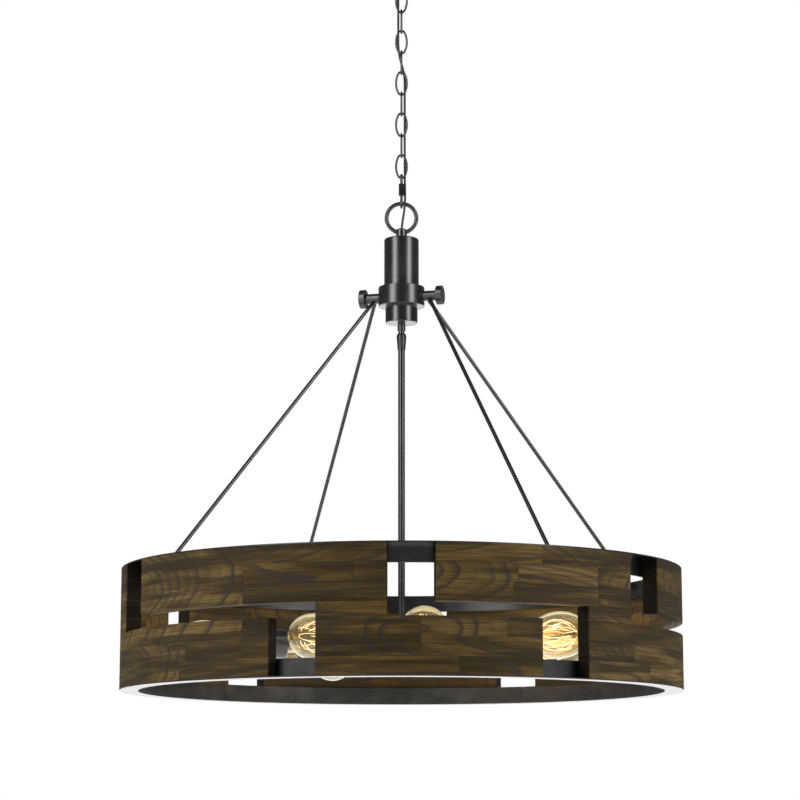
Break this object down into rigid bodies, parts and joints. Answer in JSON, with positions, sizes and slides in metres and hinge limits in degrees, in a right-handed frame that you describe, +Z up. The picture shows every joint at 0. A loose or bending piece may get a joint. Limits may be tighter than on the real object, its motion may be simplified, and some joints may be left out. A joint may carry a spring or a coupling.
{
  "type": "drum chandelier",
  "caption": "Open drum chandelier: stepped wood slats between dark metal rims, hung by rods from a hub, a chain and a ceiling canopy, with a spoke cluster of bare bulbs inside.",
  "frame": {"origin": "on the ceiling, at the middle of the mounting bar's top face, above the canopy's middle", "axes": "+Z up; -Y towards the viewer of the picture (front); +X to the right of that view"},
  "size_m": [0.8, 0.8, 1.1311],
  "materials": {
    "dark_metal": "satin bronze-black paint",
    "steel": "zinc-plated",
    "ground": "green, satin",
    "brass_pipe": "plain",
    "wood": "weathered grey-brown, matt",
    "liner": "black insulator",
    "bulb_base": "plain",
    "bulb_glass": "clear, amber tinted",
    "cord": "brown sleeve"
  },
  "bodies": {
    "ceiling": {"ceiling_bar": "steel", "ground_screw": "ground", "canopy_pipe": "brass_pipe", "lock_nut": "steel", "canopy_loop": "dark_metal"},
    "canopy": {"canopy": "dark_metal", "ring_nut": "dark_metal"},
    "top_link": {"top_link": "dark_metal"},
    "chain": {"chain_links": "dark_metal", "cord": "cord"},
    "quick_link": {"quick_link": "dark_metal", "quick_link_nut": "dark_metal"},
    "drum": {"hub_loop": "dark_metal", "hub_body": "dark_metal", "hub_collar": "dark_metal", "hub_cup": "dark_metal", "cross_pin_right": "dark_metal", "cross_pin_left": "dark_metal", "rod_front_right": "dark_metal", "rod_back_right": "dark_metal", "rod_front_left": "dark_metal", "rod_back_left": "dark_metal", "rod_bosses": "dark_metal", "stem_coupler": "dark_metal", "stem": "dark_metal", "top_ring": "dark_metal", "bottom_ring": "dark_metal", "cluster_body": "dark_metal", "cluster_cap": "dark_metal", "finial": "dark_metal", "lamp_arms": "dark_metal", "socket_cups": "dark_metal", "stem_nut": "steel", "panel_screws": "steel", "hub_pipe": "dark_metal", "socket_liners": "liner", "wood_panel_1": "wood", "wood_panel_2": "wood", "wood_panel_3": "wood", "wood_panel_4": "wood", "wood_panel_5": "wood", "wood_panel_6": "wood"},
    "bulb_1": {"bulb_base_1": "bulb_base", "bulb_glass_1": "bulb_glass"},
    "bulb_2": {"bulb_base_2": "bulb_base", "bulb_glass_2": "bulb_glass"},
    "bulb_3": {"bulb_base_3": "bulb_base", "bulb_glass_3": "bulb_glass"},
    "bulb_4": {"bulb_base_4": "bulb_base", "bulb_glass_4": "bulb_glass"},
    "bulb_5": {"bulb_base_5": "bulb_base", "bulb_glass_5": "bulb_glass"},
    "bulb_6": {"bulb_base_6": "bulb_base", "bulb_glass_6": "bulb_glass"},
    "bulb_7": {"bulb_base_7": "bulb_base", "bulb_glass_7": "bulb_glass"},
    "bulb_8": {"bulb_base_8": "bulb_base", "bulb_glass_8": "bulb_glass"},
    "bulb_9": {"bulb_base_9": "bulb_base", "bulb_glass_9": "bulb_glass"}
  },
  "joints": [
    {"name": "canopy_slide", "type": "slide", "parent": "ceiling", "child": "canopy", "axis": [0, 0, -1], "range_m": [0, 0.018]},
    {"name": "top_link_swing", "type": "hinge", "parent": "ceiling", "child": "top_link", "pos_m": [0, 0, -0.0545], "axis": [1, 0, 0], "range_deg": [-30, 30], "deforming": ["cord"]},
    {"name": "chain_swing", "type": "hinge", "parent": "top_link", "child": "chain", "pos_m": [0, 0, -0.08615], "axis": [0, 1, 0], "range_deg": [-25, 25], "deforming": ["cord"]},
    {"name": "quick_link_swing", "type": "hinge", "parent": "chain", "child": "quick_link", "pos_m": [0, 0, -0.3746], "axis": [1, 0, 0], "range_deg": [-20, 20], "deforming": ["cord"]},
    {"name": "drum_swing", "type": "hinge", "parent": "quick_link", "child": "drum", "pos_m": [0, 0, -0.419], "axis": [0, 1, 0], "range_deg": [-20, 20], "deforming": ["cord"]},
    {"name": "bulb_1_pull", "type": "slide", "parent": "drum", "child": "bulb_1", "axis": [0.1357, -0.9904, 0.0279], "range_m": [0, 0.028]},
    {"name": "bulb_2_pull", "type": "slide", "parent": "drum", "child": "bulb_2", "axis": [0.7408, -0.6717, 0.0035], "range_m": [0, 0.028]},
    {"name": "bulb_3_pull", "type": "slide", "parent": "drum", "child": "bulb_3", "axis": [0.9993, -0.0384, 0], "range_m": [0, 0.028]},
    {"name": "bulb_4_pull", "type": "slide", "parent": "drum", "child": "bulb_4", "axis": [0.7902, 0.6129, 0], "range_m": [0, 0.028]},
    {"name": "bulb_5_pull", "type": "slide", "parent": "drum", "child": "bulb_5", "axis": [0.2113, 0.9773, 0.0122], "range_m": [0, 0.028]},
    {"name": "bulb_6_pull", "type": "slide", "parent": "drum", "child": "bulb_6", "axis": [-0.4662, 0.8841, -0.0314], "range_m": [0, 0.028]},
    {"name": "bulb_7_pull", "type": "slide", "parent": "drum", "child": "bulb_7", "axis": [-0.9259, 0.3778, 0], "range_m": [0, 0.028]},
    {"name": "bulb_8_pull", "type": "slide", "parent": "drum", "child": "bulb_8", "axis": [-0.9521, -0.3057, -0.0087], "range_m": [0, 0.028]},
    {"name": "bulb_9_pull", "type": "slide", "parent": "drum", "child": "bulb_9", "axis": [-0.5329, -0.8462, -0.0052], "range_m": [0, 0.028]}
  ]
}
